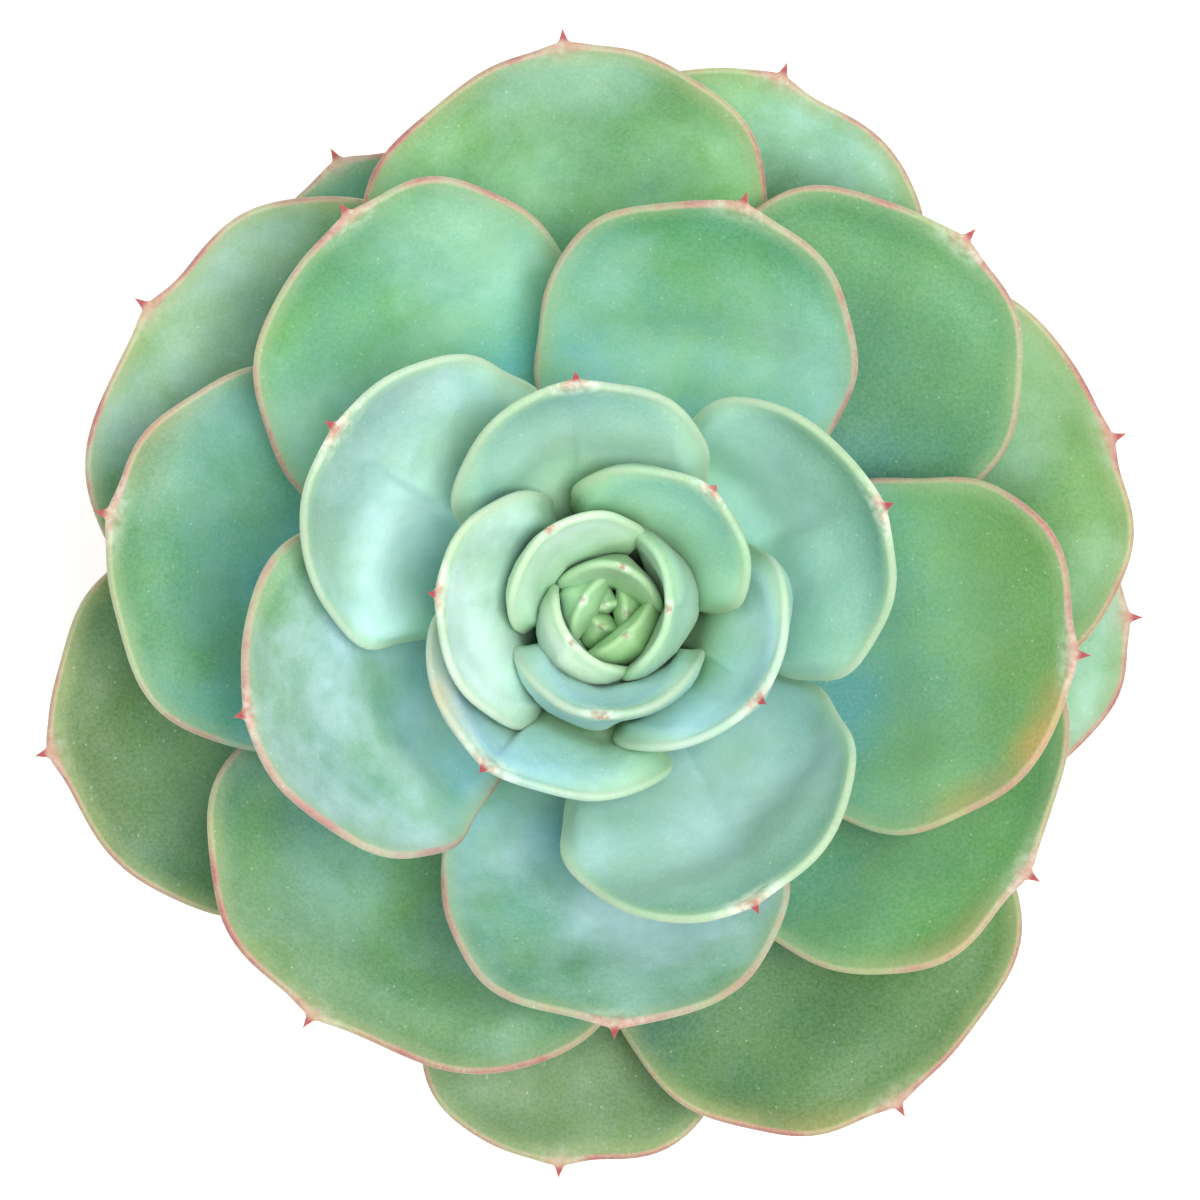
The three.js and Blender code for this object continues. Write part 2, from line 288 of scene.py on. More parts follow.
def in_steps(outline, longest):
    """The outline with its long stretches divided, so that faces stay short."""
    result = [outline[0]]
    for start, end in zip(outline, outline[1:]):
        start, end = Vector(start), Vector(end)
        steps = math.ceil((end - start).length / longest)
        result += [tuple(start.lerp(end, (step + 1) / steps)) for step in range(steps)]
    return result


def apply_modifiers(piece):
    """Works out the piece's modifiers and keeps the result as its plain mesh."""
    depsgraph = bpy.context.evaluated_depsgraph_get()
    mesh = bpy.data.meshes.new_from_object(piece.evaluated_get(depsgraph))
    piece.modifiers.clear()
    piece.data = mesh


def drill_holes(pot, in_floor, depth):
    """Drains the pot. In_floor is how far out the corners of the CAD pot's holes are."""
    ring = (in_floor.min() + in_floor.max()) / 2
    bore = (in_floor.max() - in_floor.min()) / 2
    for hole in range(POT_HOLES):
        angle = 2 * math.pi * hole / POT_HOLES
        place = (ring * math.cos(angle), ring * math.sin(angle), 0)
        sizes = {"radius1": bore, "radius2": bore, "depth": depth}
        shape = bmesh.new()
        bmesh.ops.create_cone(shape, cap_ends=True, segments=HOLE_SIDES, **sizes)
        bmesh.ops.translate(shape, verts=shape.verts, vec=place)
        drill_mesh = bpy.data.meshes.new("drill")
        shape.to_mesh(drill_mesh)
        shape.free()
        drill = bpy.data.objects.new("drill", drill_mesh)
        bpy.context.scene.collection.objects.link(drill)
        cut = pot.modifiers.new("hole", "BOOLEAN")
        cut.object = drill
        cut.solver = "EXACT"
        apply_modifiers(pot)
        bpy.data.objects.remove(drill)


def make_pot():
    """The pot, turned from the outline measured on the CAD pot, with its corners rounded."""
    radii, levels = profile_of("pot")
    height = levels.max()
    rim = radii.max()
    foot = radii[levels < 2 * MM].max()
    mouth = radii[levels > height - 2 * MM].min()
    inside = (levels > 1 * MM) & (levels < 20 * MM) & (radii < foot - 2 * MM)
    floor = levels[inside].max()
    floor_radius = radii[inside].max()
    below_band = (levels > 0.5 * height) & (levels < height - 3 * MM)
    band_foot = levels[below_band].min()
    wall = radii[below_band].min()
    band = radii[below_band].max()
    outline = [(0, 0), (foot, 0), (wall, band_foot), (band, band_foot + 0.4 * MM), (rim, height)]
    outline += [(mouth, height), (floor_radius, floor), (0, floor)]
    outline = in_steps(rounded(outline, POT_ROUNDING), POT_STEP)
    pot = new_piece("clay_pot", *turned(outline, POT_TURNS), terracotta_material(height))
    in_floor = radii[(levels < 0.1 * MM) & (radii < foot - 5 * MM) & (radii > 1 * MM)]
    drill_holes(pot, in_floor, 3 * floor)
    pot.data.shade_smooth()
    pot.data.set_sharp_from_angle(angle=SHARP_CORNER)
    return pot


pot = make_pot()
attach(pot, "root")
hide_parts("pot")


# ---- Soil ----
# A fast-draining mix: dark sifted compost under a scatter of pumice, crushed lava and bark. It is
# filled in loose round the roots and mounds up a little towards the stem.

SOIL_RINGS = 30
SOIL_TURNS = 96
GRAINS_PER_M2 = 165000
GRAIN_RADIUS = 1.25 * MM
GRAIN_SEED = 7
GRAINS_FROM = 75 * MM
SOIL_WALL_STEPS = 6
LUMPS = 0.35 * MM
COMPOST = (0.030, 0.019, 0.012, 1)
COMPOST_DRY = (0.085, 0.055, 0.036, 1)
GRIT_TONES = [
    (0.00, (0.050, 0.030, 0.020, 1)),
    (0.30, (0.115, 0.048, 0.030, 1)),
    (0.52, (0.200, 0.140, 0.090, 1)),
    (0.74, (0.420, 0.370, 0.290, 1)),
    (1.00, (0.620, 0.580, 0.500, 1)),
]


def compost_material():
    """Dark crumbs, paler where they have dried."""
    material, tree, shader = new_material("compost")
    crumbs = mottled(tree, 420, 2.6)
    colour = coat(tree, COMPOST, COMPOST_DRY, crumbs)
    finish = {"Base Color": colour, "Roughness": scaled(tree, crumbs, 0.15, 0.82)}
    finish["Normal"] = relief(tree, grained(tree, 520, 3), 0.9, 1.2 * MM)
    fill(tree, shader, finish)
    return material


def grit_material():
    """Each grain has its own tone, from bark through lava to pumice."""
    material, tree, shader = new_material("grit")
    tone = node(tree, "ShaderNodeAttribute", attribute_name="tone").outputs["Fac"]
    tones = node(tree, "ShaderNodeValToRGB", {"Fac": tone})
    ramp = tones.color_ramp
    ramp.interpolation = "CONSTANT"
    ramp.elements.remove(ramp.elements[1])
    ramp.elements[0].color = GRIT_TONES[0][1]
    for position, colour in GRIT_TONES[1:]:
        ramp.elements.new(position).color = colour
    dust = mottled(tree, 900, 2)
    colour = coat(tree, tones.outputs[0], COMPOST_DRY, dust, 0.25)
    colour = coat(tree, colour, COMPOST, specked(tree, 2600, 0.5, 0.6), 0.5)
    finish = {"Base Color": colour, "Roughness": scaled(tree, dust, 0.2, 0.75)}
    finish["Normal"] = relief(tree, grained(tree, 1800, 2.5), 0.6, 0.3 * MM)
    fill(tree, shader, finish)
    return material


def make_soil():
    """The compost, with the surface lumpy and the sides and socket as the CAD soil has them."""
    radii, levels = profile_of("soil")
    bottom = levels.min()
    edge = radii.max()
    top_at_edge = levels[radii > edge - 0.5 * MM].max()
    bottom_edge = radii[levels < bottom + 0.1 * MM].max()
    socket = radii[levels > levels.max() - 0.1 * MM].max()
    socket_floor = levels[(radii < socket + 0.5 * MM) & (levels > bottom + 1 * MM)].min()
    outline = [(0, bottom), (bottom_edge, bottom)]
    for step in range(1, SOIL_WALL_STEPS + 1):
        share = step / SOIL_WALL_STEPS
        level = bottom + (top_at_edge - bottom) * share
        outline.append((bottom_edge + (edge - bottom_edge) * share, level))
    surface = range(len(outline), len(outline) + SOIL_RINGS)
    for ring in range(1, SOIL_RINGS + 1):
        share = ring / SOIL_RINGS
        mound = (levels.max() - top_at_edge) * math.sin(math.pi / 2 * share)
        outline.append((edge + (socket - edge) * share, top_at_edge + mound))
    outline += [(socket, socket_floor), (0, socket_floor)]
    vertices, faces = turned(outline, SOIL_TURNS)
    vertices = np.array(vertices)
    for ring in surface:
        first = 1 + (ring - 1) * SOIL_TURNS
        rows = vertices[first : first + SOIL_TURNS]
        x, y = rows[:, 0], rows[:, 1]
        lumps = np.sin(x * 520 + 1.3) * np.sin(y * 610 + 0.4) + 0.6 * np.sin(x * 1270 + y * 930)
        calm = min(1.0, (ring - surface[0]) / 3, (surface[-1] - ring) / 3)
        rows[:, 2] += LUMPS * (lumps - 1.2) * calm
    return new_piece("compost", vertices, faces, compost_material())


def grit_tree():
    """Geometry nodes that scatter grains over the top of the soil and knock them out of round."""
    tree = bpy.data.node_groups.new("Top dressing", "GeometryNodeTree")
    sockets = {"Soil": "Geometry", "Grains per m2": "Float", "Grain radius": "Float"}
    sockets |= {"Lowest grain": "Float", "Seed": "Int", "Grit": "Material"}
    for label, kind in sockets.items():
        tree.interface.new_socket(label, in_out="INPUT", socket_type=f"NodeSocket{kind}")
    tree.interface.new_socket("Grit", in_out="OUTPUT", socket_type="NodeSocketGeometry")
    entry = tree.nodes.new("NodeGroupInput").outputs

    def step(kind, inputs=None, output=0, **settings):
        return node(tree, kind, inputs, **settings).outputs[output]

    def random(kind, low, high, seed):
        low_socket, high_socket = {"FLOAT": (2, 3), "FLOAT_VECTOR": (0, 1)}[kind]
        inputs = {low_socket: low, high_socket: high, "Seed": seed}
        output = 0 if kind == "FLOAT_VECTOR" else 1
        return step("FunctionNodeRandomValue", inputs, output, data_type=kind)

    def above(value, least):
        return step("FunctionNodeCompare", {0: value, 1: least}, operation="GREATER_THAN")

    up = step("ShaderNodeSeparateXYZ", {0: step("GeometryNodeInputNormal")}, "Z")
    place = step("GeometryNodeInputPosition")
    level = step("ShaderNodeSeparateXYZ", {0: place}, "Z")
    inputs = {0: above(up, 0.6), 1: above(level, entry["Lowest grain"])}
    inputs = {"Mesh": entry["Soil"], "Selection": step("FunctionNodeBooleanMath", inputs)}
    inputs |= {"Density": entry["Grains per m2"], "Seed": entry["Seed"]}
    points = step("GeometryNodeDistributePointsOnFaces", inputs)
    inputs = {"Segments": 8, "Rings": 5, "Radius": entry["Grain radius"]}
    inputs = {"Points": points, "Instance": step("GeometryNodeMeshUVSphere", inputs)}
    turn = random("FLOAT_VECTOR", (0, 0, 0), (6.28, 6.28, 6.28), 1)
    inputs["Rotation"] = step("FunctionNodeEulerToRotation", {0: turn})
    inputs["Scale"] = random("FLOAT_VECTOR", (0.45, 0.4, 0.3), (1.25, 1.0, 0.9), 2)
    grains = step("GeometryNodeInstanceOnPoints", inputs)
    inputs = {"Geometry": grains, "Name": "tone", "Value": random("FLOAT", 0.0, 1.0, 3)}
    kinds = {"data_type": "FLOAT", "domain": "INSTANCE"}
    toned = step("GeometryNodeStoreNamedAttribute", inputs, **kinds)
    solid = step("GeometryNodeRealizeInstances", {0: toned})
    inputs = {"Vector": place, "Scale": 620.0, "Detail": 1.0}
    inputs = {0: step("ShaderNodeTexNoise", inputs, "Color"), 1: (0.5, 0.5, 0.5)}
    centred = step("ShaderNodeVectorMath", inputs, operation="SUBTRACT")
    inputs = {0: centred, "Scale": times(tree, entry["Grain radius"], 1.5)}
    offset = step("ShaderNodeVectorMath", inputs, operation="SCALE")
    knocked = step("GeometryNodeSetPosition", {"Geometry": solid, "Offset": offset})
    inputs = {"Geometry": knocked, "Material": entry["Grit"]}
    finished = step("GeometryNodeSetMaterial", inputs)
    node(tree, "NodeGroupOutput", {"Grit": finished})
    return tree


def make_grit(soil):
    """The top dressing, as a plain mesh of its own."""
    grit = bpy.data.objects.new("top_dressing", soil.data.copy())
    bpy.context.scene.collection.objects.link(grit)
    scatter = grit.modifiers.new("scatter", "NODES")
    scatter.node_group = grit_tree()
    values = {"Grains per m2": GRAINS_PER_M2, "Grain radius": GRAIN_RADIUS}
    values |= {"Lowest grain": GRAINS_FROM, "Seed": GRAIN_SEED, "Grit": grit_material()}
    for item in scatter.node_group.interface.items_tree:
        if item.in_out == "INPUT" and item.name in values:
            scatter[item.identifier] = values[item.name]
    apply_modifiers(grit)
    return grit


soil = make_soil()
grit = make_grit(soil)
for piece in (soil, grit):
    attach(piece, "root")
    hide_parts("soil")


# ---- Stem ----
# A short woody stem, which thickens as the rosette grows away from the soil. Each leaf that has
# dried up and dropped leaves a scar, and all the scars follow the spiral of the leaves.

STEM_TURNS = 72
STEM_STEP = 0.6 * MM
SCAR_RISE = 1.1 * MM
SCAR_TURN = math.radians(138.3)
SCAR_DEPTH = 0.45 * MM
SCAR_HALF_WIDTH = 3.4 * MM
SCAR_HALF_HEIGHT = 0.9 * MM
BARK = (0.205, 0.145, 0.092, 1)
BARK_PALE = (0.330, 0.265, 0.185, 1)
BARK_GREEN = (0.210, 0.260, 0.135, 1)


def bark_material(soil_level, tip_level):
    """Corky and pale brown by the soil, and still green under the youngest leaves."""
    material, tree, shader = new_material("bark")
    flakes = mottled(tree, 330, 2.4)
    colour = coat(tree, BARK, BARK_PALE, flakes)
    place = node(tree, "ShaderNodeTexCoord").outputs["Object"]
    level = node(tree, "ShaderNodeSeparateXYZ", {0: place}).outputs["Z"]
    young = fade(tree, level, soil_level + 0.3 * (tip_level - soil_level), tip_level)
    colour = coat(tree, colour, BARK_GREEN, young)
    finish = {"Base Color": colour, "Roughness": scaled(tree, flakes, 0.2, 0.7)}
    finish["Normal"] = relief(tree, grained(tree, 1100, 3), 0.7, 0.4 * MM)
    fill(tree, shader, finish)
    return material


def make_stem():
    """The stem as thick as the CAD stem at each level, with the scars dented into it."""
    radii, heights = profile_of("stem")
    foot, tip = heights.min(), heights.max()
    heights = np.round(heights, 5)
    levels = np.unique(heights)
    widths = np.array([radii[heights == level].max() for level in levels])
    outline = [(0, foot)]
    for level in np.arange(foot, tip, STEM_STEP):
        outline.append((max(np.interp(level, levels, widths), 0.3 * MM), level))
    outline.append((0, tip))
    vertices, faces = turned(outline, STEM_TURNS)
    vertices = np.array(vertices)
    angle = np.arctan2(vertices[:, 1], vertices[:, 0])
    radius = np.hypot(vertices[:, 0], vertices[:, 1])
    dent = np.zeros(len(vertices))
    for scar in range(int((tip - foot) / SCAR_RISE)):
        apart = (angle - scar * SCAR_TURN + math.pi) % (2 * math.pi) - math.pi
        across = apart * radius / SCAR_HALF_WIDTH
        along = (vertices[:, 2] - foot - scar * SCAR_RISE) / SCAR_HALF_HEIGHT
        dent = np.maximum(dent, np.exp(-(across**4) - along**2))
    share = 1 - SCAR_DEPTH * dent * (radius > 3 * MM) / np.maximum(radius, 1 * MM)
    vertices[:, 0] *= share
    vertices[:, 1] *= share
    soil_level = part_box("soil")[1][2]
    return new_piece("woody_stem", vertices, faces, bark_material(soil_level, tip))


stem = make_stem()
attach(stem, "root")
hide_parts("stem")


# ---- Leaves ----
# Thick, water-filled leaves in a golden-angle spiral, the youngest in the heart. Each is a spoon with
# a rounded rim and a small hard point, under a powdery wax that is thickest in the heart and rubbed
# off in places. Strong light reddens the rims of the old leaves.

# The grid of a leaf laid flat, in millimetres from the rim and from the midrib, then in metres.
RIM_STEPS = [0, 0.03, 0.12, 0.28, 0.52, 0.84, 1.25, 1.9, 2.9, 4.3]
MIDRIB_STEPS = [0, 0.16, 0.32, 0.5, 0.8, 1.3, 2.1, 3.3]
ACROSS_STEP = 1.5 * MM
ALONG_STEP = 1.4 * MM
BASE_STEP = 1.8 * MM
ON_MIDRIB = 5e-6
AT_BASE = 1e-3

# The outline: where a leaf is widest, how squarely it rounds to its tip, how often and how much it
# swells on the way round, and how far a grown blade leans to the left, seen from the stem.
GROWN_HALF_WIDTH = 25 * MM
WIDEST_SHARE = 0.62
SQUARENESS = 2.3
OUTLINE_SWINGS = [(2, 0.022), (5, 0.017), (9, 0.010)]
LEAF_SEED = 11
LEAN_LEFT = 2.0 * MM
LEANS = {19: 0.0, 21: -2.0 * MM, 22: 3.0 * MM, 23: 0.3 * MM, 24: 0.3 * MM, 27: 2.6 * MM}

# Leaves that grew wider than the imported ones, and leaves that are rolled about their length, in
# degrees, so that one half leans over the heart.
FULLER = {1: 1.5, 2: 1.5, 3: 1.35, 4: 1.3, 5: 1.35, 6: 1.14, 7: 1.1, 8: 1.26, 10: 1.03, 15: 1.06}
ROLLS = {8: -10, 13: -10}

# The thickness: a round rim, a swell to the full thickness and a keel under the midrib.
RIM_RADIUS = 0.58 * MM
SWELL_WIDTH = 9 * MM
TOP_SHARE = 0.4
KEEL = 0.5 * MM
YOUNG_KEEL = 0.8 * MM
KEELED_LEAVES = 6

# The relief: the rim waves and stands up a little, and the blade has soft puffs, flutes that fan out
# from the stem, and dimples.
RIM_WAVES = 0.35 * MM
RIM_LIFT = 0.5 * MM
RIM_REACH = 6 * MM
PUFFS = 0.9
FLUTES = 0.34
DIMPLES = 0.26

# The point: shallow shoulders run up to a short hard spike, which hooks down.
POINT_LENGTH = 1.6 * MM
POINT_HALF_WIDTH = 0.75 * MM
POINT_HOOK = 0.9 * MM
SHOULDER = 1.0 * MM
SHOULDER_HALF_WIDTH = 3.2 * MM
SHOULDER_DEPTH = 2.2 * MM

# How each whorl is coloured. Greens: next to the stem, over the blade and towards the tip. The green
# next to the stem is darker partly because a leaf's base is teal and partly as painted shade, the
# shadow that the leaves above cast on it. Spread: the shares of the leaf's length at which the first
# green starts to turn, is the second, and is the third. Rim: the pale rim and its width in
# millimetres. Line: the fine line on it and how much of it.
WHORLS = {
    "heart": {
        "greens": [(0.21, 0.45, 0.22), (0.33, 0.59, 0.31), (0.36, 0.63, 0.34)],
        "spread": (0.25, 0.62, 0.98),
        "rim": ((0.42, 0.68, 0.37), 2.2),
        "line": ((0.46, 0.68, 0.40), 0.15),
        "grassy": 0.2,
        "scuffed": 0.9,
    },
    "inner": {
        "greens": [(0.165, 0.43, 0.36), (0.22, 0.48, 0.36), (0.23, 0.49, 0.34)],
        "spread": (0.25, 0.65, 0.98),
        "rim": ((0.40, 0.64, 0.36), 2.3),
        "line": ((0.50, 0.55, 0.38), 0.35),
        "grassy": 0.25,
        "scuffed": 0.7,
    },
    "middle": {
        "greens": [(0.075, 0.35, 0.29), (0.10, 0.34, 0.18), (0.12, 0.34, 0.125)],
        "spread": (0.38, 0.74, 1.0),
        "rim": ((0.34, 0.47, 0.23), 3.2),
        "line": ((0.52, 0.24, 0.20), 0.8),
        "grassy": 0.55,
        "scuffed": 0.4,
    },
    "outer": {
        "greens": [(0.022, 0.18, 0.12), (0.08, 0.27, 0.10), (0.14, 0.32, 0.11)],
        "spread": (0.48, 0.80, 1.0),
        "rim": ((0.36, 0.42, 0.18), 3.4),
        "line": ((0.46, 0.17, 0.14), 0.9),
        "grassy": 0.75,
        "scuffed": 0.2,
    },
    "skirt": {
        "greens": [(0.04, 0.17, 0.09), (0.14, 0.31, 0.14), (0.22, 0.36, 0.18)],
        "spread": (0.55, 0.85, 1.0),
        "rim": ((0.36, 0.40, 0.20), 3.4),
        "line": ((0.40, 0.15, 0.13), 0.9),
        "grassy": 0.6,
        "scuffed": 0.15,
    },
}
WAX = (0.56, 0.82, 0.76, 1)
SUN_GREEN = (0.27, 0.50, 0.12, 1)
BLUSH = (0.62, 0.24, 0.03, 1)
RIM_PINK = (0.62, 0.42, 0.30, 1)
RIM_MAROON = (0.22, 0.06, 0.06, 1)
POINT_RED = (0.34, 0.06, 0.07, 1)
POINT_PINK = (0.50, 0.26, 0.19, 1)
SCUFF = (0.80, 0.90, 0.80, 1)
DARK_SPECK = (0.05, 0.16, 0.09, 1)

# How much wax each leaf wears, counted from the youngest.
WAX_ON = {
    1: 0.1, 2: 0.1, 3: 0.2, 4: 0.3, 5: 0.2, 6: 0.2, 7: 0.3, 8: 0.3, 9: 0.35, 10: 0.5, 11: 0.25,
    12: 0.7, 13: 0.45, 14: 0.25, 15: 0.65, 16: 0.3, 17: 0.6, 18: 0.45, 19: 0.25, 20: 0.6, 21: 0.1,
    22: 0.3, 23: 0.6, 24: 0.1, 25: 0.3, 26: 0.15, 27: 0.3, 28: 0.25, 29: 0.3, 30: 0.3, 31: 0.05,
    32: 0.35, 33: 0.15, 34: 0.3, 36: 0.2,
}
WAX_ON_OTHERS = 0.2

# How the green of each leaf is tinted beside its whorl's, next to the stem and by the tip. These
# numbers are not a rule of the plant: a measuring script worked them out, and they were limited and
# rounded. Only those of leaves 1 to 5 were given one by one, and those of 10, 12, 15, 32, 34 and 35
# changed. A leaf without a row takes the tints of the hidden leaves.
# The tints are partly each leaf's own colour and partly painted light and shade: they lighten the
# parts of a leaf that lie in shade and darken the parts in full light, so that its brightness,
# shading included, comes out as measured.
TINTS_AND_PAINTED_LIGHT = {
    1: ((0.6, 0.7, 0.6), (0.65, 0.75, 0.6)),
    2: ((0.5, 0.6, 0.45), (0.55, 0.65, 0.45)),
    3: ((0.65, 0.75, 0.6), (0.8, 0.85, 0.75)),
    4: ((0.7, 0.8, 0.6), (0.85, 0.9, 0.8)),
    5: ((0.65, 0.75, 0.55), (0.7, 0.8, 0.6)),
    6: ((1.25, 1.35, 1.15), (0.8, 0.75, 0.9)),
    7: ((0.65, 0.7, 0.85), (1.15, 0.9, 1.1)),
    8: ((1.05, 0.85, 1.15), (0.7, 0.75, 0.95)),
    9: ((1.25, 1.2, 0.85), (1.5, 1.2, 1.25)),
    10: ((1.8, 1.6, 1.7), (0.6, 0.7, 0.95)),
    11: ((1.15, 1.1, 0.75), (0.6, 0.8, 0.8)),
    12: ((0.95, 0.95, 0.85), (1.1, 0.95, 1.05)),
    13: ((1.1, 1.05, 0.8), (1.1, 1.1, 1.55)),
    14: ((1.7, 1.4, 1.4), (0.65, 0.75, 0.85)),
    15: ((1.35, 1.2, 0.75), (0.6, 0.75, 1.0)),
    16: ((1.55, 1.4, 1.55), (0.35, 0.55, 0.5)),
    17: ((1.5, 1.4, 1.6), (0.8, 0.75, 0.85)),
    18: ((1.25, 1.1, 1.35), (0.4, 0.55, 0.5)),
    19: ((1.55, 1.3, 1.65), (0.4, 0.7, 0.65)),
    20: ((1.5, 1.25, 1.7), (0.85, 0.8, 0.95)),
    21: ((0.85, 0.9, 1.15), (0.55, 0.65, 0.4)),
    22: ((1.45, 1.4, 1.65), (0.75, 0.85, 0.75)),
    23: ((1.4, 1.2, 1.6), (0.55, 0.65, 0.65)),
    24: ((0.45, 0.6, 0.7), (0.6, 0.75, 0.6)),
    25: ((0.65, 1.05, 1.4), (0.7, 0.75, 0.75)),
    26: ((0.65, 0.7, 0.6), (0.45, 0.65, 0.45)),
    27: ((1.15, 1.4, 1.0), (0.7, 0.8, 0.8)),
    28: ((0.8, 1.0, 1.35), (0.65, 0.65, 0.65)),
    29: ((0.45, 0.7, 0.55), (0.95, 0.95, 0.8)),
    30: ((0.45, 0.8, 0.45), (1.1, 1.0, 1.3)),
    31: ((0.5, 0.6, 0.8), (0.45, 0.5, 0.4)),
    32: ((0.6, 0.6, 0.35), (1.1, 1.15, 1.4)),
    33: ((0.6, 0.95, 1.05), (0.65, 0.55, 0.45)),
    34: ((0.45, 0.6, 0.4), (1.6, 1.4, 1.9)),
    35: ((1.2, 1.3, 1.5), (0.8, 1.05, 1.5)),
    36: ((0.85, 0.7, 0.8), (0.65, 0.6, 0.55)),
}
HIDDEN_LEAF_TINT = ((0.83, 0.83, 0.83), (0.83, 0.83, 0.83))
TINT_BY_STEM = 0.45
TINT_BY_TIP = 0.9

# How sunned a leaf is, and how much its rim is blushed, this many millimetres left of its point.
SUNNED = {
    19: 0.2, 21: 0.7, 24: 0.4, 26: 0.5, 27: 0.3, 28: 0.3, 29: 0.4, 30: 0.2, 31: 0.6, 32: 0.2, 33: 0.2,
    36: 0.3,
}
BLUSHED = {15: 0.5, 21: 1.0, 25: 0.3, 26: 0.3, 31: 0.3}
BLUSH_FROM_TIP = 14
BLUSH_SPREAD = 12

# The young leaves press on each other: each swells into the gap before its neighbour, mostly at the
# back in the heart. The shares are how much of the gap it fills.
PRESSED_LEAVES = 20
PRESSING_NEIGHBOURS = 9
BACK_SHARES = {1: 0.8, 2: 0.8, 3: 0.8, 4: 0.8, 5: 0.8, 7: 0.6, 8: 0.4}
BACK_SHARE = 0.16
FRONT_SHARES = {1: 0.3, 2: 0.3, 3: 0.3, 4: 0.3, 5: 0.3, 7: 0.3, 8: 0.8}
FRONT_SHARE = 0.7
LARGEST_SWELL = 3.4 * MM
LARGEST_FRONT_SWELL = 4.4 * MM
CONTACT_GAP = 0.12 * MM
KEEL_SHARE = 0.55
SWELL_SMOOTHING = 30


class Leaf:
    """The sizes and place of one leaf, measured on its CAD node."""

    def __init__(self, name):
        self.name = name
        self.whorl, _, count = name.split("_")
        self.age = int(count)
        corners = corners_of(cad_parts[name])
        middle = corners.mean(axis=0)
        azimuth = math.atan2(middle[1], middle[0])
        for self.azimuth in (azimuth, azimuth + math.pi):
            self._measure(corners)
            if self.base[0] > 0:
                break

    def _measure(self, corners):
        cos, sin = math.cos(self.azimuth), math.sin(self.azimuth)
        x = corners[:, 0] * cos + corners[:, 1] * sin
        y = corners[:, 1] * cos - corners[:, 0] * sin
        z = corners[:, 2]
        midrib = np.stack([x, z], axis=1)[abs(y) < ON_MIDRIB]
        tip = midrib[np.argmax(midrib.sum(axis=1))]
        from_tip = np.hypot(*(midrib - tip).T)
        foot = midrib[np.argsort(from_tip)[-2:]]
        below, above = foot[np.argsort(foot[:, 1] - foot[:, 0])]
        self.thickness = float(np.hypot(*(above - below)))
        self.base = below + (1 - TOP_SHARE) * (above - below)
        out = (above - below) / self.thickness
        self.start = math.atan2(-out[0], out[1])
        chord = tip - self.base
        self.turn = 2 * (math.atan2(chord[1], chord[0]) - self.start)
        self.bend_radius = float(np.hypot(*chord)) / (2 * math.sin(self.turn / 2))
        self.length = self.bend_radius * self.turn
        to_centre = np.array([-math.sin(self.start), math.cos(self.start)])
        self.centre = self.base + self.bend_radius * to_centre
        widest = int(np.argmax(y))
        # A leaf that flares outwards has its centre behind it, and its bend radius is negative.
        side = math.copysign(1, self.bend_radius)
        gap = math.hypot(x[widest] - self.centre[0], z[widest] - self.centre[1])
        rise = self.bend_radius - side * gap
        curl = 2 * math.atan(rise / y[widest])
        self.curve = math.sin(curl) / y[widest]
        self.half_width = curl / self.curve
        pitches = np.arctan2(side * (x - self.centre[0]), side * (self.centre[1] - z))
        self.widest = self.bend_radius * (pitches[widest] - self.start)
        self.half_base = float(y[abs(pitches - self.start) < AT_BASE].max())
        self.half_width *= FULLER.get(self.age, 1.0)

    def bent(self, across, along, offset):
        """Where points of the leaf laid flat are once it is bent, cupped and in its place."""
        pitch = self.start + along / self.bend_radius
        curl = across * self.curve
        side = np.sin(curl) * (1 / self.curve - offset)
        rise = (1 - np.cos(curl)) / self.curve + offset * np.cos(curl)
        out = self.centre[0] + (self.bend_radius - rise) * np.sin(pitch)
        up = self.centre[1] - (self.bend_radius - rise) * np.cos(pitch)
        cos, sin = math.cos(self.azimuth), math.sin(self.azimuth)
        places = np.stack([out * cos - side * sin, out * sin + side * cos, up], axis=-1)
        if self.age not in ROLLS:
            return places
        base = np.array([self.base[0] * cos, self.base[0] * sin, self.base[1]])
        chord = self.start + self.turn / 2
        axis = Vector((math.cos(chord) * cos, math.cos(chord) * sin, math.sin(chord)))
        roll = np.array(Matrix.Rotation(math.radians(ROLLS[self.age]), 3, axis))
        return (places - base) @ roll.T + base


def smooth_step(value, start, end):
    share = np.clip((value - start) / (end - start), 0, 1)
    return share * share * (3 - 2 * share)


def stations(steps_in, half_width, inner_step):
    """Shares from 0 at the midrib to 1 at the margin, close together at both."""
    from_rim = [1 - step * MM / half_width for step in RIM_STEPS if step * MM < 0.45 * half_width]
    near_middle = [step * MM / half_width for step in steps_in if step * MM < 0.4 * half_width]
    gap = from_rim[-1] - near_middle[-1]
    count = max(2, round(gap * half_width / inner_step))
    between = [near_middle[-1] + gap * step / count for step in range(1, count)]
    return np.array(near_middle + between + from_rim[::-1])


def flat_outline(leaf, u, v):
    """The leaf laid flat. U is the share of the way from the midrib to a margin; v runs from -1 at
    the base through 0 at the widest line to 1 at the tip."""
    share = np.clip(v + 1, 0, 1)
    base = leaf.half_base / leaf.half_width
    flare = base + (1 - base) * np.sin(math.pi / 2 * share) ** 1.25
    tip = np.clip(v, 0, 1)
    x = u * np.sqrt(1 - tip**2 / 2)
    y = tip * np.sqrt(1 - u**2 / 2)
    reach = np.maximum(np.hypot(x, y), 1e-9)
    swell = ((abs(x) / reach) ** SQUARENESS + (y / reach) ** SQUARENESS) ** (-1 / SQUARENESS)
    tip_length = leaf.widest / WIDEST_SHARE - leaf.widest
    across = np.where(v <= 0, leaf.half_width * flare * u, leaf.half_width * x * swell)
    along = np.where(v <= 0, leaf.widest * share, leaf.widest + tip_length * y * swell)
    return across, along


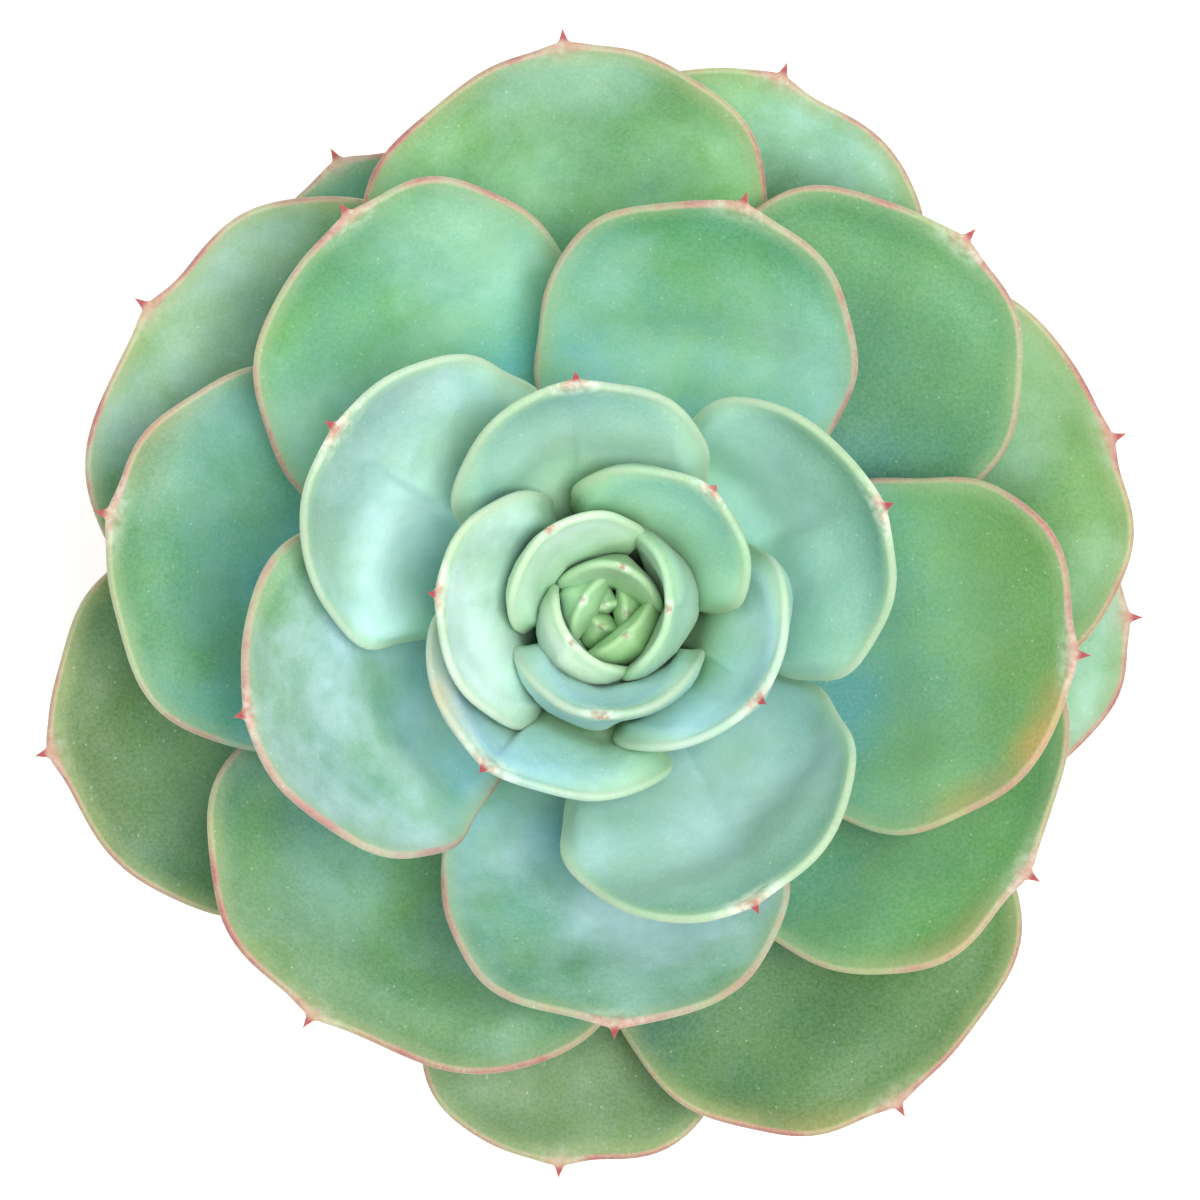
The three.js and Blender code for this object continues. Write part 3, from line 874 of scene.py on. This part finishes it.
def rim_distance(across, along):
    """How far each point of the flat leaf is from the leaf's outline, its base left out."""
    rim = [np.concatenate([grid[:, 0], grid[-1, 1:], grid[::-1, -1][1:]]) for grid in (across, along)]
    rim = np.stack(rim, axis=1)
    points = np.stack([across.ravel(), along.ravel()], axis=1)[:, None]
    starts, arms = rim[:-1], np.diff(rim, axis=0)
    lengths = np.maximum((arms**2).sum(axis=1), 1e-16)
    share = np.clip(((points - starts) * arms).sum(axis=2) / lengths, 0, 1)
    gaps = points - starts - share[..., None] * arms
    return np.sqrt((gaps**2).sum(axis=2).min(axis=1)).reshape(across.shape)


class Blade:
    """A leaf as a grid of points laid flat, and how far its skins stand off the sheet there."""

    def __init__(self, leaf):
        self.leaf = leaf
        self.size = leaf.half_width / GROWN_HALF_WIDTH
        self.waves = np.random.default_rng(LEAF_SEED + leaf.age).uniform(0, 2 * math.pi, 4)
        half = stations(MIDRIB_STEPS, leaf.half_width, ACROSS_STEP)
        u = np.concatenate([-half[:0:-1], half])
        toward_tip = stations([0], leaf.widest / WIDEST_SHARE - leaf.widest, ALONG_STEP)
        base_rows = max(6, round(leaf.widest / BASE_STEP))
        v = np.concatenate([np.linspace(-1, 0, base_rows, endpoint=False), toward_tip])
        u, v = np.meshgrid(u, v)
        self.past_widest = v > 0
        self.across, self.along = flat_outline(leaf, u, v)
        self._vary_outline()
        self.margin = rim_distance(self.across, self.along)
        self.rim = min(RIM_RADIUS, 0.34 * leaf.thickness)
        self._thicken()
        self._raise_relief()
        self._draw_out_point()

    def _vary_outline(self):
        """The outline isn't quite even, and the blade is fuller on one side of its point."""
        leaf = self.leaf
        past = self.along - leaf.widest
        self.bearing = np.arctan2(self.across, past)
        swing = 0
        for (count, amount), wave in zip(OUTLINE_SWINGS, self.waves):
            swing = swing + amount * np.sin(count * self.bearing + wave)
        swing = swing * smooth_step(np.hypot(self.across, past), 0, 0.7 * leaf.half_width)
        swing = swing * smooth_step(self.along, 0.1 * leaf.length, 0.5 * leaf.length)
        self.across = self.across * (1 + swing)
        self.along = self.along + past * swing
        lean = LEANS.get(leaf.age, LEAN_LEFT * min(self.size, 1.1))
        bulge = np.sin(math.pi * np.clip(self.along / leaf.length, 0, 1)) ** 0.8
        self.across = self.across + lean * bulge

    def _thicken(self):
        leaf, rim = self.leaf, self.rim
        turn_in = np.clip(self.margin / rim, 0, 1)
        round_off = rim * np.sqrt(turn_in * (2 - turn_in))
        swell = smooth_step(self.margin, 0.6 * rim, min(SWELL_WIDTH, 0.8 * leaf.half_width))
        keel = KEEL * self.size * np.exp(-((self.across / (0.16 * leaf.half_width)) ** 2)) * swell
        if leaf.age <= KEELED_LEAVES:
            keel = keel + YOUNG_KEEL * np.exp(-abs(self.across) / (0.3 * leaf.half_width)) * swell
        self.above = round_off + swell * (TOP_SHARE * leaf.thickness - rim)
        self.below = round_off + swell * ((1 - TOP_SHARE) * leaf.thickness - rim) + keel

    def _raise_relief(self):
        leaf, size, waves = self.leaf, self.size, self.waves
        near_rim = np.exp(-self.margin / (RIM_REACH * size))
        grown = smooth_step(self.along, 0.25 * leaf.length, 0.7 * leaf.length)
        ripple = 0.6 * np.sin(3 * self.bearing + waves[2]) + 0.4 * np.sin(7 * self.bearing + waves[3])
        lift = near_rim * grown * (RIM_WAVES * size * ripple + RIM_LIFT * size)
        x, y = self.across / leaf.half_width, self.along / leaf.half_width
        puffs = np.sin(4.6 * x + 2.7 * y + waves[1]) * np.sin(3.9 * y - 2.4 * x + waves[2])
        dimples = np.sin(9.5 * x + 4.1 * y + waves[0]) * np.sin(8.3 * y - 5.2 * x + waves[3])
        fan = np.arctan2(self.across, self.along + 0.2 * leaf.length)
        flutes = np.cos(9 * fan + waves[0]) + 0.7 * np.cos(15 * fan + waves[3])
        flutes = flutes + 0.4 * np.cos(25 * fan + waves[1])
        flutes = flutes * smooth_step(self.along, 0.2 * leaf.length, 0.7 * leaf.length)
        uneven = PUFFS * puffs + FLUTES * flutes + DIMPLES * dimples
        self.lift = lift + MM * size * uneven * smooth_step(self.margin, 0.8 * MM, 7 * MM)

    def _draw_out_point(self):
        """Grown leaves have a full spike, and the heart's leaves the start of one."""
        midrib = self.across.shape[1] // 2
        self.off_midrib = self.across - self.across[:, midrib][:, None]
        by_tip = np.clip(1 - self.margin / SHOULDER_DEPTH, 0, 1) ** 2 * self.past_widest
        at_rim = np.clip(1 - self.margin / self.rim, 0, 1) * self.past_widest
        shoulders = np.exp(-((self.off_midrib / SHOULDER_HALF_WIDTH) ** 2))
        spike = np.clip(1 - abs(self.off_midrib) / POINT_HALF_WIDTH, 0, 1) ** 1.3
        scale = (0.45 + 0.55 * min(self.size, 1)) * min(1, max(0.3, (self.leaf.age - 7) / 5))
        drawn = SHOULDER * shoulders * by_tip + POINT_LENGTH * spike * at_rim
        self.along = self.along + scale * drawn
        self.tip_gap = np.hypot(self.off_midrib, self.along - self.along[-1, midrib]) / scale
        self.lift = self.lift - POINT_HOOK * scale * spike * at_rim
        slim = 1 - spike * at_rim * 0.75
        self.above = self.above * slim
        self.below = self.below * slim

    def paint(self):
        """What the material reads at each point of the sheet, by name."""
        leaf, shape = self.leaf, self.margin.shape
        # The tints painted on here are partly painted light and shade.
        by_stem, by_tip = np.array(TINTS_AND_PAINTED_LIGHT.get(leaf.age, HIDDEN_LEAF_TINT))
        reach = self.along / leaf.length
        beside_tip = np.exp(-(((self.tip_gap / MM - BLUSH_FROM_TIP) / BLUSH_SPREAD) ** 2))
        on_left = smooth_step(-self.across / leaf.half_width, 0.0, 0.3)
        share = np.clip((reach - TINT_BY_STEM) / (TINT_BY_TIP - TINT_BY_STEM), 0, 1)
        return {
            "margin": self.margin / MM,
            "reach": reach,
            "tip": self.tip_gap / MM,
            "blush": BLUSHED.get(leaf.age, 0.0) * beside_tip * on_left,
            "wax": np.full(shape, WAX_ON.get(leaf.age, WAX_ON_OTHERS)),
            "sun": np.full(shape, SUNNED.get(leaf.age, 0.0)),
            "hardness": np.full(shape, min(1.0, (leaf.age / 12) ** 4)),
            "stain": np.full(shape, min(1.0, 0.4 + leaf.age / 12)),
            "aside": np.minimum(abs(self.off_midrib) / leaf.half_width, 1),
            "tint_and_painted_light": by_stem + (by_tip - by_stem) * share[..., None],
        }


def quads(grid, upward):
    """The faces between the rows and columns of a grid of corners."""
    if upward:
        corners = [grid[:-1, :-1], grid[1:, :-1], grid[1:, 1:], grid[:-1, 1:]]
    else:
        corners = [grid[:-1, :-1], grid[:-1, 1:], grid[1:, 1:], grid[1:, :-1]]
    return np.stack(corners, axis=-1).reshape(-1, 4)


def store(mesh, label, values):
    """Keeps one number, or a row of three, for each corner of the mesh."""
    kind, field = ("FLOAT", "value") if values.ndim == 1 else ("FLOAT_VECTOR", "vector")
    attribute = mesh.attributes.new(label, kind, "POINT")
    attribute.data.foreach_set(field, values.astype(np.float32).ravel())


def make_leaf(leaf, material):
    """One leaf as a closed mesh. Its upper and lower skin share the corners of the rim."""
    blade = Blade(leaf)
    rows, columns = blade.across.shape
    top = np.arange(rows * columns).reshape(rows, columns)
    bottom = top + rows * columns
    bottom[:, 0], bottom[:, -1], bottom[-1] = top[:, 0], top[:, -1], top[-1]
    skins = [blade.lift + blade.above, blade.lift - blade.below]
    places = [leaf.bent(blade.across, blade.along, skin).reshape(-1, 3) for skin in skins]
    heel = np.stack([top[0, :-1], top[0, 1:], bottom[0, 1:], bottom[0, :-1]], axis=-1)
    faces = np.concatenate([quads(top, upward=True), quads(bottom, upward=False), heel])
    used = np.unique(faces)
    renumber = np.zeros(2 * rows * columns, dtype=int)
    renumber[used] = np.arange(len(used))
    faces = [tuple(dict.fromkeys(face)) for face in renumber[faces].tolist()]
    piece = new_piece(f"{leaf.name}_blade", np.concatenate(places)[used], faces, material)
    for label, values in blade.paint().items():
        values = values.reshape(rows * columns, -1).squeeze()
        store(piece.data, label, np.concatenate([values, values])[used])
    under = np.concatenate([np.zeros(rows * columns), np.ones(rows * columns)])
    store(piece.data, "under", under[used])
    return piece


def painted(tree, label):
    return node(tree, "ShaderNodeAttribute", attribute_name=label).outputs["Fac"]


def leaf_greens(tree, whorl, clouds, mist):
    """The flesh from the stem to the tip, with darker, grassier and sunned patches, under its wax."""
    stem_side, blade, outward = [(*green, 1) for green in whorl["greens"]]
    start, middle, end = whorl["spread"]
    reach = painted(tree, "reach")
    drift = times(tree, maths(tree, "SUBTRACT", clouds, 0.5), 0.26)
    wavy = maths(tree, "ADD", reach, drift)
    # The darker green by the stem is partly the leaf's own teal base and partly painted shade, the
    # shadow of the leaves above.
    colour = coat(tree, stem_side, blade, fade(tree, wavy, start, middle))
    colour = coat(tree, colour, outward, fade(tree, wavy, middle, end))
    deep = (*[0.72 * value for value in blade[:3]], 1)
    colour = coat(tree, colour, deep, mottled(tree, 42, 3.2), 0.30)
    grassy = (1.5 * blade[0], 1.12 * blade[1], 0.35 * blade[2], 1)
    colour = coat(tree, colour, grassy, mottled(tree, 58, 4.0), whorl["grassy"])
    sunned = [painted(tree, "sun"), scaled(tree, clouds, 0.6, 0.3), fade(tree, reach, 0.3, 0.8)]
    colour = coat(tree, colour, SUN_GREEN, *sunned)
    waxed = [painted(tree, "wax"), scaled(tree, mottled(tree, 46, 4.2), 1.1, 0.2)]
    waxed += [scaled(tree, mist, 0.3, 0.75)]
    waxed += [scaled(tree, fade(tree, reach, start, middle), 0.55, 0.45)]
    colour = coat(tree, colour, WAX, *waxed)
    # The tints multiply in painted light and shade as well as the leaf's own colour.
    tint_and_painted_light = node(tree, "ShaderNodeAttribute", attribute_name="tint_and_painted_light").outputs["Vector"]
    tinted = node(tree, "ShaderNodeVectorMath", {0: colour, 1: tint_and_painted_light}, operation="MULTIPLY")
    return tinted.outputs[0]


def leaf_rim(tree, whorl, clouds, colour):
    """A pale rim, blushed in places, with a fine line on it that is dark at its very edge."""
    margin = painted(tree, "margin")
    (rim, width), (line, amount) = whorl["rim"], whorl["line"]
    patchy = scaled(tree, clouds, 0.4, 0.25)
    colour = coat(tree, colour, (*rim, 1), fade(tree, margin, width, 0.4), patchy)
    blushed = [painted(tree, "blush"), scaled(tree, clouds, 0.8, 0.2), fade(tree, margin, 6.0, 0.3)]
    colour = coat(tree, colour, BLUSH, *blushed)
    reddened = mottled(tree, 95, 4.0)
    broken = scaled(tree, reddened, 0.75, 0.25)
    line_colour = coat(tree, RIM_PINK, (*line, 1), reddened)
    colour = coat(tree, colour, line_colour, fade(tree, margin, 0.8, 0.3), amount, broken)
    edge = fade(tree, margin, 0.4, 0.05)
    return coat(tree, colour, RIM_MAROON, edge, amount**2, broken, 0.7)


def leaf_marks(tree, whorl, colour):
    """Pale and dark specks and a powder all over, and the scuffed, stained tip with its red spike."""
    tip = painted(tree, "tip")
    colour = coat(tree, colour, SCUFF, specked(tree, 1300, 0.26, 0.08), 0.4)
    colour = coat(tree, colour, DARK_SPECK, specked(tree, 700, 0.13, 0.08), 0.5)
    colour = coat(tree, colour, SCUFF, mottled(tree, 2200, 3.0), 0.09)
    at_rim = fade(tree, painted(tree, "margin"), 2.6, 0.8)
    scuffs = [fade(tree, tip, 8.0, 1.5), mottled(tree, 650, 5.0), at_rim, whorl["scuffed"]]
    colour = coat(tree, colour, SCUFF, *scuffs)
    stains = [fade(tree, tip, 4.6, 0.9), mottled(tree, 900, 2.2), painted(tree, "stain"), 1.3]
    colour = coat(tree, colour, POINT_PINK, *stains)
    return coat(tree, colour, POINT_RED, fade(tree, tip, 1.8, 1.0), painted(tree, "hardness"))


def leaf_material(name, whorl):
    """Watery flesh that lets a little light in, under a skin that is matt with wax."""
    material, tree, shader = new_material(f"{name}_leaf")
    clouds, mist = mottled(tree, 75, 2.2), mottled(tree, 420, 1.8)
    colour = leaf_rim(tree, whorl, clouds, leaf_greens(tree, whorl, clouds, mist))
    finish = {
        "Base Color": leaf_marks(tree, whorl, colour),
        "Roughness": scaled(tree, mist, 0.14, 0.46),
        "Specular IOR Level": 0.35,
        "Subsurface Weight": 0.25,
        "Subsurface Radius": (0.7, 1.0, 0.45),
        "Subsurface Scale": 1.6 * MM,
        "Sheen Weight": 0.08,
        "Sheen Roughness": 0.5,
        "Normal": relief(tree, grained(tree, 420, 6), 0.16, 0.3 * MM),
    }
    fill(tree, shader, finish)
    return material


def numbers_of(collection, label, count, width=1):
    """One number, or one row of numbers, for each point of a mesh."""
    values = np.empty(count * width, dtype=np.float32)
    collection.foreach_get(label, values)
    return values.reshape(count, width) if width > 1 else values


def gaps_before(places, normals, near):
    """How far it is, straight out from each point, to the nearest neighbour, or 0 if none is near."""
    gaps = np.zeros(len(places))
    for point, (place, normal) in enumerate(zip(places, normals)):
        normal = Vector(normal)
        start = Vector(place) + normal * CONTACT_GAP
        hits = [tree.ray_cast(start, normal, 2 * LARGEST_FRONT_SWELL)[3] for tree in near]
        gaps[point] = min([hit for hit in hits if hit is not None], default=0)
    return gaps


def smoothed(values, mesh):
    """The values evened out along the edges of the mesh."""
    edges = np.array([edge.vertices[:] for edge in mesh.edges])
    ends = np.concatenate([edges, edges[:, ::-1]])
    neighbours = np.bincount(ends[:, 0], minlength=len(values))
    for _ in range(SWELL_SMOOTHING):
        total = np.bincount(ends[:, 0], values[ends[:, 1]], minlength=len(values))
        values = 0.4 * values + 0.6 * total / neighbours
    return values


def press_together(blades):
    """Swells the young leaves into the gaps between them, which leaves thin lines of contact."""
    trees = {}
    for age, blade in blades.items():
        mesh = blade.data
        corners = [vertex.co[:] for vertex in mesh.vertices]
        trees[age] = BVHTree.FromPolygons(corners, [tuple(face.vertices) for face in mesh.polygons])
    moved = {}
    for age in range(1, PRESSED_LEAVES + 1):
        mesh = blades[age].data
        count = len(mesh.vertices)
        places = numbers_of(mesh.vertices, "co", count, 3)
        normals = numbers_of(mesh.vertex_normals, "vector", count, 3)
        margin, under, aside = [
            numbers_of(mesh.attributes[label].data, "value", count)
            for label in ("margin", "under", "aside")
        ]
        youngest = max(1, age - PRESSING_NEIGHBOURS)
        oldest = min(age + PRESSING_NEIGHBOURS, len(blades))
        near = [trees[other] for other in range(youngest, oldest + 1) if other != age]
        gaps = gaps_before(places, normals, near)
        at_back = np.minimum(gaps * BACK_SHARES.get(age, BACK_SHARE), LARGEST_SWELL)
        in_front = np.minimum(gaps * FRONT_SHARES.get(age, FRONT_SHARE), LARGEST_FRONT_SWELL)
        swell = smoothed(np.where(under > 0.5, at_back, in_front), mesh)
        swell = swell * smooth_step(margin, 0.15, 2.2)
        if age in BACK_SHARES:
            swell = swell * (1 - KEEL_SHARE * aside)
        moved[age] = places + normals * swell[:, None]
    for age, places in moved.items():
        blades[age].data.vertices.foreach_set("co", places.ravel().astype(np.float32))
        blades[age].data.update()


materials = {name: leaf_material(name, whorl) for name, whorl in WHORLS.items()}
blades = {}
for name in sorted(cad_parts):
    if "_leaf_" in name:
        leaf = Leaf(name)
        blade = make_leaf(leaf, materials[leaf.whorl])
        blades[leaf.age] = blade
        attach(blade, "root")
        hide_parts(name)
press_together(blades)


# ---- Studio ----
# A pale floor under a broad soft light, and a camera straight above the heart of the rosette.

CAMERA_PLACE = (-0.93 * MM, 1.72 * MM, 119.7 * MM + 700 * MM)
CAMERA_LENS = 158.2
SENSOR_WIDTH = 36
SKY = 0.80
LAMP_POWER = 11.5
FILL_SHARE = 0.1
FLOOR = (0.95, 0.95, 0.95, 1)
FLOOR_PALE = (0.97, 0.97, 0.97, 1)
FLOOR_HALF = 2.0
FLOOR_GLOW = 0.25


def make_floor():
    material, tree, shader = new_material("floor")
    colour = coat(tree, FLOOR, FLOOR_PALE, mottled(tree, 3, 1.0))
    finish = {"Base Color": colour, "Roughness": 0.9, "Emission Color": (1, 1, 1, 1)}
    fill(tree, shader, finish | {"Emission Strength": FLOOR_GLOW})
    half = FLOOR_HALF
    corners = [(-half, -half, 0), (half, -half, 0), (half, half, 0), (-half, half, 0)]
    return new_piece("floor", corners, [(0, 1, 2, 3)], material)


def make_lamp(name, place, target, width, power):
    light = bpy.data.lights.new(name, "AREA")
    light.shape = "DISK"
    light.size = width
    light.energy = power
    lamp = bpy.data.objects.new(name, light)
    lamp.location = place
    lamp.rotation_euler = (Vector(target) - Vector(place)).to_track_quat("-Z", "Y").to_euler()
    bpy.context.scene.collection.objects.link(lamp)


make_floor()
make_lamp("key", (0.26, -0.06, 1.22), (0, 0, 0.12), 0.55, LAMP_POWER)
make_lamp("fill", (-0.6, 0.5, 0.7), (0, 0, 0.1), 0.9, FILL_SHARE * LAMP_POWER)

world = bpy.data.worlds.new("studio")
world.use_nodes = True
sky = world.node_tree.nodes["Background"].inputs
fill(world.node_tree, sky, {"Color": (1, 1, 1, 1), "Strength": SKY})
scene = bpy.context.scene
scene.world = world
scene.view_settings.view_transform = "Standard"

lens = bpy.data.cameras.new("camera")
lens.sensor_width = SENSOR_WIDTH
lens.lens = CAMERA_LENS
camera = bpy.data.objects.new("camera", lens)
camera.location = CAMERA_PLACE
scene.collection.objects.link(camera)
scene.camera = camera
